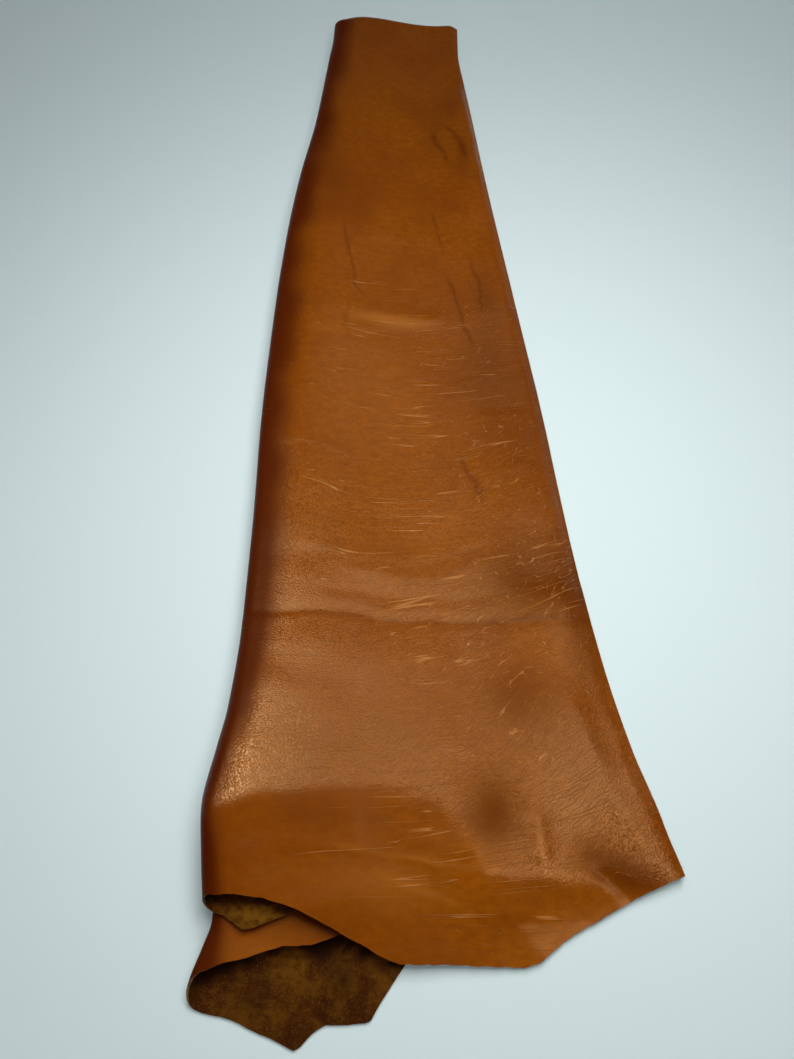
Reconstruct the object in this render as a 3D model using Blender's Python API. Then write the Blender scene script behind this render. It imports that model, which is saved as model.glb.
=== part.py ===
import bpy
import numpy as np

# One hide, folded in half lengthwise and then in half crosswise, so that it lies in four layers.
# Layer 1 is on top with its grain side up, layer 2 under it with its flesh side up,
# layer 3 grain side up, and layer 4 on the surface with its flesh side up.
# Layers 1 and 2 share the upper long fold on the left, and layers 3 and 4 the lower one.
# At the far end layer 1 turns over into layer 4, and layer 2 into layer 3 inside it.
# All sizes are in millimetres. X is across, Y runs from the near end to the far end, Z is up.

LEATHER_THICKNESS = 1.3
LAYER_GAP = 1.6
UPPER_FOLD_HEIGHT = 11.0
LOWER_FOLD_HEIGHT = 10.5
LEAST_GAP = 0.6
FOLD_HALF_WIDTH_NEAR = 7.0
FOLD_HALF_WIDTH = 11.0
FOLD_REACH_NEAR = 135.0
FOLD_REACH_FAR = 105.0
DRAPE_REACH = 18.0
FAR_LINE = 424.0
FAR_SLANT = 0.145
UPPER_FOLD_RECESS = 2.0
MILLIMETRE = 0.001

NEAR_PART = (-405.0, -340.0)

HALF_LEATHER = LEATHER_THICKNESS / 2
STEP = LEATHER_THICKNESS + LAYER_GAP

# Outer side of each long fold: along Y, across X.
UPPER_FOLD = (
    (-406.0, -127.6),
    (-385.0, -130.5),
    (-358.0, -133.2),
    (-326.0, -128.6),
    (-300.0, -124.5),
    (-250.0, -121.6),
    (-180.0, -121.2),
    (-86.0, -122.7),
    (35.0, -120.6),
    (105.0, -117.3),
    (182.0, -110.9),
    (269.0, -99.6),
    (366.0, -91.7),
    (400.0, -88.8),
    (436.0, -88.0),
)
LOWER_FOLD = (
    (-455.0, -134.4),
    (-444.0, -132.4),
    (-428.0, -127.0),
    (-416.0, -123.6),
    (-385.0, -124.0),
    (-358.0, -127.0),
    (-300.0, -120.0),
    (-180.0, -117.0),
    (-86.0, -118.5),
    (105.0, -113.5),
    (269.0, -96.5),
    (366.0, -89.0),
    (400.0, -87.0),
    (436.0, -86.0),
)

# Right cut edge of each layer: along Y, across X.
RIGHT_1 = (
    (-393.0, 137.0),
    (-374.0, 131.8),
    (-357.0, 128.1),
    (-322.0, 118.0),
    (-265.0, 106.4),
    (-177.0, 95.1),
    (-74.0, 85.6),
    (50.0, 72.5),
    (202.0, 56.5),
    (291.0, 48.5),
    (340.0, 43.7),
    (392.0, 39.0),
    (439.0, 40.0),
)
RIGHT_2 = (
    (-380.0, 123.0),
    (-357.0, 118.0),
    (-322.0, 109.0),
    (-265.0, 97.5),
    (-177.0, 86.5),
    (-74.0, 76.5),
    (50.0, 63.5),
    (202.0, 48.0),
    (340.0, 35.5),
    (439.0, 31.0),
)
RIGHT_3 = (
    (-388.0, 10.0),
    (-351.0, 34.0),
    (-319.0, 52.0),
    (-265.0, 71.0),
    (-200.0, 78.0),
    (-74.0, 73.5),
    (50.0, 60.5),
    (202.0, 45.0),
    (340.0, 32.0),
    (439.0, 28.0),
)
RIGHT_4 = (
    (-462.6, -37.0),
    (-455.0, -32.4),
    (-440.0, -21.4),
    (-415.0, -2.0),
    (-387.0, 17.7),
    (-351.0, 41.0),
    (-319.0, 59.0),
    (-265.0, 78.0),
    (-200.0, 85.0),
    (-74.0, 78.0),
    (50.0, 65.0),
    (202.0, 49.0),
    (340.0, 36.0),
    (439.0, 33.0),
)

# Near cut edge of each layer: across X, along Y.
NEAR_1 = (
    (-127.5, -405.7),
    (-114.2, -404.4),
    (-93.6, -406.6),
    (-76.2, -411.6),
    (-53.3, -422.2),
    (-31.5, -433.3),
    (-22.0, -437.0),
    (1.6, -436.9),
    (44.2, -438.3),
    (54.0, -435.4),
    (67.7, -425.0),
    (92.7, -412.4),
    (115.3, -401.4),
    (137.0, -393.0),
)
NEAR_2 = (
    (-125.0, -413.0),
    (-117.4, -413.1),
    (-105.4, -420.8),
    (-101.0, -420.3),
    (-77.5, -411.4),
    (-50.0, -400.0),
    (0.0, -389.0),
    (60.0, -389.0),
    (100.0, -386.0),
    (123.0, -380.0),
)
NEAR_3 = (
    (-129.7, -442.7),
    (-119.4, -437.7),
    (-97.9, -432.5),
    (-84.1, -428.2),
    (-69.3, -427.7),
    (-55.2, -423.3),
    (-30.0, -411.0),
    (10.0, -388.0),
)
NEAR_4 = (
    (-131.9, -454.9),
    (-126.3, -458.5),
    (-109.7, -462.1),
    (-83.5, -472.7),
    (-76.7, -475.7),
    (-73.7, -474.9),
    (-66.8, -467.9),
    (-60.8, -464.8),
    (-39.6, -463.9),
    (-37.0, -462.6),
)

# Soft swells and hollows of the top layer: two ends as X and Y, half width, height.
SWELLS = (
    (-112.0, -237.0, 95.0, -243.0, 10.0, -1.8),
    (-60.0, -200.0, 70.0, -196.0, 24.0, 1.2),
    (-100.0, -338.0, 0.0, -346.0, 38.0, 3.5),
    (0.0, -346.0, 42.0, -384.0, 24.0, 2.0),
    (20.0, -340.0, 30.0, -378.0, 9.0, -1.8),
    (92.0, -378.0, 116.0, -390.0, 12.0, -2.5),
    (84.0, -322.0, 126.0, -382.0, 9.0, 1.5),
)

# Shares across a layer from its long fold to its right edge, then the parts of the half turn.
OUTER_SHARES = (0.0, 0.03, 0.07, 0.12, 0.17, 0.22, 0.27, 0.32, 0.365, 0.41, 0.46, 0.51, 0.56, 0.61, 0.66,
                0.71, 0.77, 0.83, 0.88, 0.93, 0.97, 1.0)
INNER_SHARES = (0.0, 0.02, 0.045, 0.065, 0.1, 0.15, 0.21, 0.29, 0.38, 0.48, 0.6, 0.73, 0.87, 1.0)
FOLD_PARTS = 7
# Shares along an arm from its near edge to the far turn.
UPPER_SHARES = (0.0, 0.01, 0.022, 0.036, 0.052, 0.07, 0.09, 0.112, 0.135, 0.16, 0.18, 0.195, 0.21, 0.23,
                0.26, 0.3, 0.36, 0.43, 0.51, 0.6, 0.7, 0.8, 0.9, 0.96, 1.0)
LOWER_SHARES = (1.0, 0.95, 0.87, 0.77, 0.66, 0.55, 0.44, 0.34, 0.25, 0.17, 0.12, 0.08, 0.055, 0.035,
                0.018, 0.0)
TURN_PARTS = 8


def straight(rows, value):
    """The value of a table between its rows, in straight lines."""
    table = np.array(rows)
    return np.interp(value, table[:, 0], table[:, 1])


def curved(rows, value):
    """The value of a table between its rows, in a smooth line that never overshoots them."""
    table = np.array(rows)
    place, level = table[:, 0], table[:, 1]
    rises = np.diff(level) / np.diff(place)
    product = rises[:-1] * rises[1:]
    total = rises[:-1] + rises[1:]
    safe = np.where(product > 0, total, 1.0)
    inner = np.where(product > 0, 2 * product / safe, 0.0)
    slopes = np.concatenate((rises[:1], inner, rises[-1:]))
    at = np.clip(value, place[0], place[-1])
    row = np.clip(np.searchsorted(place, at) - 1, 0, len(place) - 2)
    span = place[row + 1] - place[row]
    part = (at - place[row]) / span
    start = level[row] * (1 + 2 * part) * (1 - part) ** 2 + slopes[row] * span * part * (1 - part) ** 2
    end = level[row + 1] * (3 - 2 * part) * part ** 2 - slopes[row + 1] * span * (1 - part) * part ** 2
    return start + end


def faded(distance, reach):
    """1 at no distance, 0 from the reach on, level at both."""
    part = np.clip(distance / reach, 0.0, 1.0)
    return (1 + np.cos(np.pi * part)) / 2


def covers(x, y, near, right):
    """1 where a layer lies under this place, fading to 0 over the drape past its cut edges."""
    inside = np.minimum(y - straight(near, x), curved(right, y) - x)
    return faded(-inside, DRAPE_REACH)


def fold_half_width(y):
    """How far a long fold's half turn reaches across, less at the near end, where it is cut."""
    return np.interp(y, NEAR_PART, (FOLD_HALF_WIDTH_NEAR, FOLD_HALF_WIDTH))


def fold_start(fold, y):
    """Where the flat of a layer ends and the half turn of its long fold begins."""
    return curved(fold, y) + HALF_LEATHER + fold_half_width(y)


def fold_opening(fold, height, x, y):
    """How far apart the middles of two layers lie that share a long fold."""
    reach = np.interp(y, (-400.0, 400.0), (FOLD_REACH_NEAR, FOLD_REACH_FAR))
    share = faded(x - fold_start(fold, y), reach)
    return STEP + (height - STEP) * share


def swell(x, y):
    """The swells and hollows of the top layer, added up."""
    total = np.zeros(np.shape(x))
    for x_start, y_start, x_end, y_end, half_width, height in SWELLS:
        run = np.array((x_end - x_start, y_end - y_start))
        part = ((x - x_start) * run[0] + (y - y_start) * run[1]) / (run @ run)
        part = np.clip(part, 0.0, 1.0)
        across = np.hypot(x - x_start - part * run[0], y - y_start - part * run[1])
        total = total + height * np.exp(-(across / half_width) ** 2)
    return total


def layer_height(layer, x, y):
    """Height of the middle of a layer, as it lies on the layers under it."""
    height = np.full(np.shape(x), HALF_LEATHER)
    if layer < 4:
        height = height + covers(x, y, NEAR_4, RIGHT_4) * fold_opening(LOWER_FOLD, LOWER_FOLD_HEIGHT, x, y)
    if layer < 3:
        height = height + covers(x, y, NEAR_3, RIGHT_3) * STEP
    if layer < 2:
        over = covers(x, y, NEAR_2, RIGHT_2)
        rise = swell(x, y)
        opening = fold_opening(UPPER_FOLD, UPPER_FOLD_HEIGHT, x, y) + rise
        height = height + over * np.maximum(opening, LEATHER_THICKNESS + LEAST_GAP)
        height = height + (1 - over) * np.maximum(rise, 0.0)
    return height


def far_line(x):
    """Where the layers begin their half turn at the far end."""
    return FAR_LINE + FAR_SLANT * (x - UPPER_FOLD[-1][1])


def across(share, fold, right, y):
    """X of a share of the way from the long fold to the right edge."""
    start = fold_start(fold, y)
    return start + share * (curved(right, y) - start)


def near_line(share, fold, near, right):
    """Y at which the line of this share meets the layer's near cut edge."""
    low = np.full(np.shape(share), -520.0)
    high = np.full(np.shape(share), -300.0)
    for _ in range(40):
        middle = (low + high) / 2
        past = middle > straight(near, across(share, fold, right, middle))
        high = np.where(past, middle, high)
        low = np.where(past, low, middle)
    return (low + high) / 2


def arm(shares, fold, recess, outer, inner):
    """The middle surface of two layers with their long fold, one row of points for each share along."""
    outer_layer, outer_near, outer_right = outer
    inner_layer, inner_near, inner_right = inner
    columns = []
    outer_across = np.array(OUTER_SHARES[::-1])
    inner_across = np.array(INNER_SHARES)
    outer_starts = near_line(outer_across, fold, outer_near, outer_right)
    inner_starts = near_line(inner_across, fold, inner_near, inner_right)
    along = np.array(shares)

    def flat(layer, share, start, right):
        end = FAR_LINE
        for _ in range(8):
            end = far_line(across(share, fold, right, end))
        y = start + along * (end - start)
        x = across(share, fold, right, y)
        return np.stack((x, y, layer_height(layer, x, y)), axis=-1)

    for share, start in zip(outer_across, outer_starts):
        columns.append(flat(outer_layer, share, start, outer_right))
    for part in range(1, FOLD_PARTS):
        angle = np.pi * part / FOLD_PARTS
        blend = (1 - np.cos(angle)) / 2
        start = outer_starts[-1] + blend * (inner_starts[0] - outer_starts[-1]) + recess * np.sin(angle)
        end = far_line(fold_start(fold, FAR_LINE))
        y = start + along * (end - start)
        begin = fold_start(fold, y)
        top = layer_height(outer_layer, begin, y)
        bottom = layer_height(inner_layer, begin, y)
        x = begin - fold_half_width(y) * np.sin(angle)
        z = (top + bottom) / 2 + (top - bottom) / 2 * np.cos(angle)
        columns.append(np.stack((x, y, z), axis=-1))
    for share, start in zip(inner_across, inner_starts):
        columns.append(flat(inner_layer, share, start, inner_right))
    return np.stack(columns, axis=1)


def far_turn(upper, lower):
    """The half turn at the far end, from the last row of the upper arm to the first of the lower."""
    rows = []
    radius = (upper[:, 2] - lower[:, 2]) / 2
    middle = (upper[:, 2] + lower[:, 2]) / 2
    for part in range(1, TURN_PARTS):
        angle = np.pi * part / TURN_PARTS
        blend = (1 - np.cos(angle)) / 2
        flat = upper[:, :2] + blend * (lower[:, :2] - upper[:, :2])
        y = flat[:, 1] + radius * np.sin(angle)
        z = middle + radius * np.cos(angle)
        rows.append(np.stack((flat[:, 0], y, z), axis=-1))
    return np.stack(rows)


def middle_surface():
    """Rows along the hide from layer 1's near edge over the far turn to layer 4's near edge."""
    upper = arm(UPPER_SHARES, UPPER_FOLD, UPPER_FOLD_RECESS, (1, NEAR_1, RIGHT_1), (2, NEAR_2, RIGHT_2))
    lower = arm(LOWER_SHARES, LOWER_FOLD, 0.0, (4, NEAR_4, RIGHT_4), (3, NEAR_3, RIGHT_3))
    return np.concatenate((upper, far_turn(upper[-1], lower[0]), lower))


def thickened(middle):
    """Points of the grain side and the flesh side, and triangles of a closed sheet between them."""
    rows, columns = middle.shape[:2]
    along = np.gradient(middle, axis=0)
    sideways = np.gradient(middle, axis=1)
    normal = np.cross(along, sideways)
    normal = normal / np.linalg.norm(normal, axis=-1, keepdims=True)
    grain = middle + normal * HALF_LEATHER
    flesh = middle - normal * HALF_LEATHER
    points = np.concatenate((grain.reshape(-1, 3), flesh.reshape(-1, 3)))
    numbers = np.arange(rows * columns).reshape(rows, columns)
    a = numbers[:-1, :-1].ravel()
    b = numbers[1:, :-1].ravel()
    c = numbers[1:, 1:].ravel()
    d = numbers[:-1, 1:].ravel()
    other = rows * columns
    triangles = [np.stack((a, b, c), axis=1), np.stack((a, c, d), axis=1)]
    triangles += [np.stack((a, c, b), axis=1) + other, np.stack((a, d, c), axis=1) + other]
    rim = np.concatenate((numbers[0, :-1], numbers[:-1, -1], numbers[-1, :0:-1], numbers[:0:-1, 0]))
    following = np.roll(rim, -1)
    triangles.append(np.stack((rim, following, following + other), axis=1))
    triangles.append(np.stack((rim, following + other, rim + other), axis=1))
    return points, np.concatenate(triangles)


def clear_scene():
    for thing in list(bpy.data.objects):
        bpy.data.objects.remove(thing, do_unlink=True)


def leather_material():
    material = bpy.data.materials.new("tan_leather")
    material.use_nodes = True
    shader = material.node_tree.nodes["Principled BSDF"]
    shader.inputs["Base Color"].default_value = (0.27, 0.09, 0.02, 1.0)
    shader.inputs["Roughness"].default_value = 0.45
    return material


def build():
    clear_scene()
    points, triangles = thickened(middle_surface())
    lowest, highest = points.min(axis=0), points.max(axis=0)
    points[:, :2] -= ((lowest + highest) / 2)[:2]
    points[:, 2] -= lowest[2]
    mesh = bpy.data.meshes.new("hide")
    mesh.from_pydata((points * MILLIMETRE).tolist(), [], triangles.tolist())
    mesh.update()
    hide = bpy.data.objects.new("hide", mesh)
    hide.data.materials.append(leather_material())
    bpy.context.scene.collection.objects.link(hide)


build()
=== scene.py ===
import math

import bpy
import numpy as np
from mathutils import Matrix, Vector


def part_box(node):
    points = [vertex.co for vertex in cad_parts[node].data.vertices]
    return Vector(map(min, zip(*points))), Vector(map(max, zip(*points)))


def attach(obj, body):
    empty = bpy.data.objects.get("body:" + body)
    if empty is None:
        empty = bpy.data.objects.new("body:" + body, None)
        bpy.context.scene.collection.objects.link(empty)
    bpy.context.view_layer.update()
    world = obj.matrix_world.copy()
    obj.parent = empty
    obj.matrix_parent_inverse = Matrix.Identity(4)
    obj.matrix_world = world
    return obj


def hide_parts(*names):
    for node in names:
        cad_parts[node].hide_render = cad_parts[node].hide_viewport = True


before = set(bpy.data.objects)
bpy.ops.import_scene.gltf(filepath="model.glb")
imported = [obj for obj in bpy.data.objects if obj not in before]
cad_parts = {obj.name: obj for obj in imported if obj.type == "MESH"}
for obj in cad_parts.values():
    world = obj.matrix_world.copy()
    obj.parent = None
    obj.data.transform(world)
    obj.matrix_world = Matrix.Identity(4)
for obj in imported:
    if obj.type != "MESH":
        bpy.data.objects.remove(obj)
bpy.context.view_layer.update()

# The hide is one sheet, folded in half lengthwise and then crosswise, in four layers.
# Layer 1 is on top with its grain side up, layer 2 lies flesh side up, layer 3 grain side up,
# and layer 4 lies lowest with its flesh side up. Layers 1 and 2 share the upper long fold on the
# left, layers 3 and 4 the lower one. At the far end layer 1 turns over into layer 4, and layer 2
# into layer 3. The shape is worked out in millimetres. X is across, and Y runs from the near end
# to the far end.
MILLIMETRE = 0.001

# The leather, the usual gap between two layers, and the least gap under the top layer.
LEATHER_THICKNESS = 1.3
LAYER_GAP = 1.6
LEAST_GAP = 0.6
HALF_LEATHER = LEATHER_THICKNESS / 2
STEP = LEATHER_THICKNESS + LAYER_GAP

# The long folds: distance between the middles of the two layers that each joins, reach of its
# half turn across at both ends of the near part, and reach of its opening at both ends of the hide.
UPPER_FOLD_HEIGHT = 11.0
LOWER_FOLD_HEIGHT = 10.5
NEAR_PART = (-405.0, -340.0)
FOLD_HALF_WIDTHS = (7.0, 11.0)
HIDE_ENDS = (-400.0, 400.0)
OPENING_REACHES = (135.0, 105.0)

# How much a half turn hangs, and how far the upper one is cut back at the near edge.
FOLD_DROOP = 1.35
UPPER_FOLD_RECESS = 2.0

# The way that a layer takes to drape past the cut edges of the layers under it. Over a stretch
# along Y the top layer's changes from the near reach to the usual one. Past layer 2 it is at most
# the second reach.
DRAPE_REACH = 18.0
DRAPE_REACH_NEAR = 70.0
DRAPE_REACH_SECOND = 30.0
LONG_DRAPE = (-330.0, -210.0)

# How softly the top layer settles where layer 2 lies under it, and where it doesn't.
EASE_OVER_LAYER = 0.25
EASE_OVER_NONE = 0.1

# Where the layers begin their half turn at the far end, how that line slants, and in how many
# rounds a column's end on it is found.
FAR_LINE = 424.0
FAR_SLANT = 0.145
FAR_LINE_ROUNDS = 8

# Where the near cut edge is looked for along Y, and in how many halvings.
NEAR_SEARCH = (-520.0, -300.0)
NEAR_SEARCH_ROUNDS = 40

# How ragged the near cut edges are: depth, size of the teeth, how fast they end along the layer,
# how far apart the layers' rows of noise lie, seed.
RAGGED_DEPTH = 0.35
RAGGED_CELL = 3.5
RAGGED_POWER = 40
RAGGED_ROW = 7.0
RAGGED_SEED = 21

# The relief of the top layer: how round its crests are, as a share of the reach and at most, how
# its flanks fall, and how its lines taper at their ends: slope, least.
CREST_EASE = 0.16
CREST_EASE_MOST = 5.0
FLANK_POWER = 1.6
RELIEF_TAPER = (4.0, 0.25)
VEIN_TAPER = (5.0, 0.2)

# How the top layer falls toward the upper long fold: how far in it begins, depth, power.
CREST_IN = 34.0
CREST_FALL = 4.6
CREST_FALL_POWER = 2.2

# How lines sway: size, size of the hills, seed. The relief has a slow and a quick sway.
RELIEF_SWAYS_X = ((2.0, 26.0, 3), (0.7, 8.0, 5))
RELIEF_SWAYS_Y = ((2.0, 26.0, 4), (0.7, 8.0, 6))
VEIN_SWAY_X = (2.2, 13.0, 41)
VEIN_SWAY_Y = (1.2, 9.0, 42)
FLOW_SWAY = (5.0, 55.0, 31)
CREST_SWAY = (2.5, 11.0, 51)
BAND_SWAY = (4.5, 26.0, 61)

# Slight waves of the top layer: height, size of the hills, stretch of X, lean of Y, seed.
WAVES = (
    (1.0, 60.0, 1.0, 0.0, 11),
    (0.36, 19.0, 0.45, 0.1, 12),
    (0.09, 8.5, 0.5, -0.25, 13),
)

# The painted shade on the side of the upper long fold that turns away from the light: how far it
# reaches in and how far it fades, along Y.
PAINTED_FOLD_SHADE = ((-330.0, 6.0), (-285.0, 11.0), (-240.0, 14.0), (-190.0, 10.0), (-80.0, 5.0))
PAINTED_FOLD_SHADE_REACH = ((-330.0, 13.0), (-285.0, 17.0), (-240.0, 20.0), (-190.0, 23.0), (-80.0, 25.0))

# The change from pebbled to smooth ground at the near fold: half its width across X, and the
# shifts that round its corners.
PEBBLE_CHANGE = ((-60.0, 5.0), (-10.0, 8.0), (15.0, 15.0), (60.0, 15.0))
CREST_BLUR = (-18.0, -12.0, -6.0, 0.0, 6.0, 12.0, 18.0)

# The pebbles of the smooth ground, the share that the far part loses, and the stretch along Y over
# which it does.
SMOOTH_PEBBLES = 0.15
FAR_PEBBLE_LOSS = 0.4
PEBBLE_LOSS_START = -240.0
PEBBLE_LOSS_LENGTH = 240.0

# The shine of the smooth ground, what the painted shade of the long fold and under cut edges takes
# off it, and what the right rim takes off it over a short reach. The last is how much the painted
# shade under a cut edge deepens the colour.
SMOOTH_SHINE = 0.3
SHADE_DULLING = 0.85
RIM_DULLING = 0.9
RIM_REACH = 5.0
SHADE_DEPTH = 0.6

# The tone of a place whose colour is neither deeper nor paler.
PLAIN_TONE = 0.5

# Outer side of each long fold: along Y, across X.
UPPER_FOLD = (
    (-406.0, -127.6),
    (-385.0, -130.5),
    (-358.0, -133.2),
    (-326.0, -128.6),
    (-300.0, -124.5),
    (-250.0, -121.6),
    (-180.0, -121.2),
    (-86.0, -122.7),
    (35.0, -120.6),
    (105.0, -117.3),
    (182.0, -110.9),
    (269.0, -99.6),
    (366.0, -91.7),
    (400.0, -88.8),
    (436.0, -88.0),
)
LOWER_FOLD = (
    (-455.0, -134.4),
    (-444.0, -132.4),
    (-428.0, -127.0),
    (-416.0, -123.6),
    (-385.0, -124.0),
    (-358.0, -127.0),
    (-300.0, -120.0),
    (-180.0, -117.0),
    (-86.0, -118.5),
    (105.0, -113.5),
    (269.0, -96.5),
    (366.0, -89.0),
    (400.0, -87.0),
    (436.0, -86.0),
)

# Right cut edge of each layer: along Y, across X.
RIGHT_1 = (
    (-393.0, 137.0),
    (-374.0, 131.8),
    (-357.0, 128.1),
    (-322.0, 118.0),
    (-265.0, 106.4),
    (-177.0, 95.1),
    (-74.0, 85.6),
    (50.0, 72.5),
    (202.0, 56.5),
    (291.0, 48.5),
    (340.0, 43.7),
    (392.0, 39.0),
    (439.0, 40.0),
)
RIGHT_2 = (
    (-380.0, 123.0),
    (-357.0, 118.0),
    (-322.0, 109.0),
    (-265.0, 97.5),
    (-177.0, 86.5),
    (-74.0, 76.5),
    (50.0, 63.5),
    (202.0, 48.0),
    (340.0, 35.5),
    (439.0, 31.0),
)
RIGHT_3 = (
    (-388.0, 10.0),
    (-351.0, 34.0),
    (-319.0, 52.0),
    (-265.0, 71.0),
    (-200.0, 78.0),
    (-74.0, 73.5),
    (50.0, 60.5),
    (202.0, 45.0),
    (340.0, 32.0),
    (439.0, 28.0),
)
RIGHT_4 = (
    (-462.6, -37.0),
    (-455.0, -32.4),
    (-440.0, -21.4),
    (-415.0, -2.0),
    (-387.0, 17.7),
    (-351.0, 41.0),
    (-319.0, 59.0),
    (-265.0, 78.0),
    (-200.0, 85.0),
    (-74.0, 78.0),
    (50.0, 65.0),
    (202.0, 49.0),
    (340.0, 36.0),
    (439.0, 33.0),
)

# Near cut edge of each layer: across X, along Y.
NEAR_1 = (
    (-127.5, -405.7),
    (-114.2, -404.4),
    (-93.6, -406.6),
    (-76.2, -411.6),
    (-53.3, -422.2),
    (-31.5, -433.3),
    (-22.0, -437.0),
    (1.6, -436.9),
    (44.2, -438.3),
    (54.0, -435.4),
    (67.7, -425.0),
    (92.7, -412.4),
    (115.3, -401.4),
    (137.0, -393.0),
)
NEAR_2 = (
    (-125.0, -413.0),
    (-117.4, -413.1),
    (-105.4, -420.8),
    (-101.0, -420.3),
    (-77.5, -411.4),
    (-50.0, -400.0),
    (0.0, -389.0),
    (60.0, -389.0),
    (100.0, -386.0),
    (123.0, -380.0),
)
NEAR_3 = (
    (-129.7, -442.7),
    (-119.4, -437.7),
    (-97.9, -432.5),
    (-84.1, -428.2),
    (-69.3, -427.7),
    (-55.2, -423.3),
    (-30.0, -411.0),
    (10.0, -388.0),
)
NEAR_4 = (
    (-131.9, -454.9),
    (-126.3, -458.5),
    (-109.7, -462.1),
    (-83.5, -472.7),
    (-76.7, -475.7),
    (-73.7, -474.9),
    (-66.8, -467.9),
    (-60.8, -464.8),
    (-39.6, -463.9),
    (-37.0, -462.6),
)

# The near fold of the top layer, where it turns down to its near edge: across X, along Y.
NEAR_CREST = (
    (-150.0, -378.0),
    (-124.0, -362.0),
    (-98.0, -353.0),
    (-71.0, -348.5),
    (-41.0, -349.0),
    (-8.0, -353.0),
    (9.0, -364.0),
    (18.0, -380.0),
    (28.0, -389.0),
    (51.0, -392.0),
    (92.0, -394.0),
    (140.0, -400.0),
)

# How that fold changes across: X, height, reach to its near side, reach to its far side.
NEAR_CREST_FORM = (
    (-140.0, 8.5, 78.0, 150.0),
    (0.0, 8.5, 78.0, 150.0),
    (36.0, 4.0, 52.0, 80.0),
    (100.0, 2.5, 40.0, 60.0),
)

# The crease across the top layer, which is a trough with painted shade along it as a dark line.
CROSS_CREASE = (
    (-119, -237),
    (-97, -240),
    (-58, -240),
    (-35, -242),
    (13, -243),
    (61, -240),
    (103, -239),
)

# Ridges and troughs of the top layer: reach on the near or right side, reach on the far or left
# side, height, then the line that each follows from left to right.
RELIEF = (
    (40.0, 30.0, 1.4, ((-60, -200), (0, -203), (70, -196))),
    (5.0, 6.0, -0.9, CROSS_CREASE),
    (26.0, 20.0, -1.4, ((-116, -240), (-40, -242), (20, -245), (98, -241))),
    (4.0, 4.0, 0.5, ((41, -358), (42, -376))),
    (10.0, 10.0, -1.0, ((44, -356), (47, -369), (48, -384))),
    (14.0, 12.0, 1.8, ((55, -356), (56, -372), (57, -389))),
    (4.5, 5.0, 0.35, ((-77, -378), (-55, -380), (-37, -382), (-11, -386), (18, -391))),
    (5.0, 5.0, 0.3, ((-40, -389), (-16, -399), (12, -408), (44, -412), (76, -414))),
    (30.0, 22.0, 2.6, ((76, -277), (85, -304), (95, -330), (104, -354), (115, -378), (128, -393))),
    (7.0, 7.0, -1.5, ((137, -393), (128, -357), (118, -322), (106, -265), (95, -177), (86, -74))),
    (6.0, 6.0, -1.2, ((86, -74), (72, 50), (56, 202), (48, 291), (43, 340))),
    (4.0, 6.0, -1.3, ((84, -389), (91, -394), (98, -400), (105, -407))),
    (20.0, 14.0, 1.4, ((82, -262), (80, -225), (74, -194), (70, -160), (65, -110))),
    (12.0, 10.0, 0.9, ((-66, -203), (-52, -207), (-22, -211), (5, -210), (31, -203), (48, -192))),
    (7.0, 7.0, 0.6, ((-87, -190), (-54, -196), (-22, -196), (12, -190), (47, -178))),
    (9.0, 9.0, -0.7, ((-90, -222), (-40, -226), (20, -227), (60, -219))),
    (5.0, 4.0, -0.4, ((-69, 130), (-66, 112), (-60, 79), (-59, 52), (-46, 32))),
    (4.0, 3.5, -0.3, ((-65, 28), (-62, -6))),
    (4.5, 4.0, -0.4, ((18, 74), (24, 49), (29, 15), (38, -7))),
    (8.0, 7.0, -0.9, ((22, -108), (26, -120), (32, -134), (34, -152))),
    (4.0, 4.0, 0.4, ((-10, -164), (6, -154), (25, -133))),
    (8.0, 9.0, 0.6, ((-62, 4), (-25, 14), (11, 23))),
    (6.0, 6.0, 0.45, ((-39, -38), (-18, -31))),
    (5.0, 5.0, 0.4, ((3, -55), (28, -45), (52, -33))),
    (5.0, 5.0, 0.5, ((-107, -109), (-90, -106), (-70, -112), (-42, -120))),
    (5.0, 5.0, 0.4, ((-107, -62), (-85, -56))),
    (5.0, 5.0, 0.35, ((-43, 394), (-8, 408))),
    (14.0, 12.0, 1.1, ((44, -217), (73, -221), (99, -221))),
    (10.0, 9.0, 1.1, ((38, -78), (58, -76), (74, -72))),
    (9.0, 8.0, 0.9, ((42, -128), (60, -122), (78, -124))),
)

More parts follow.
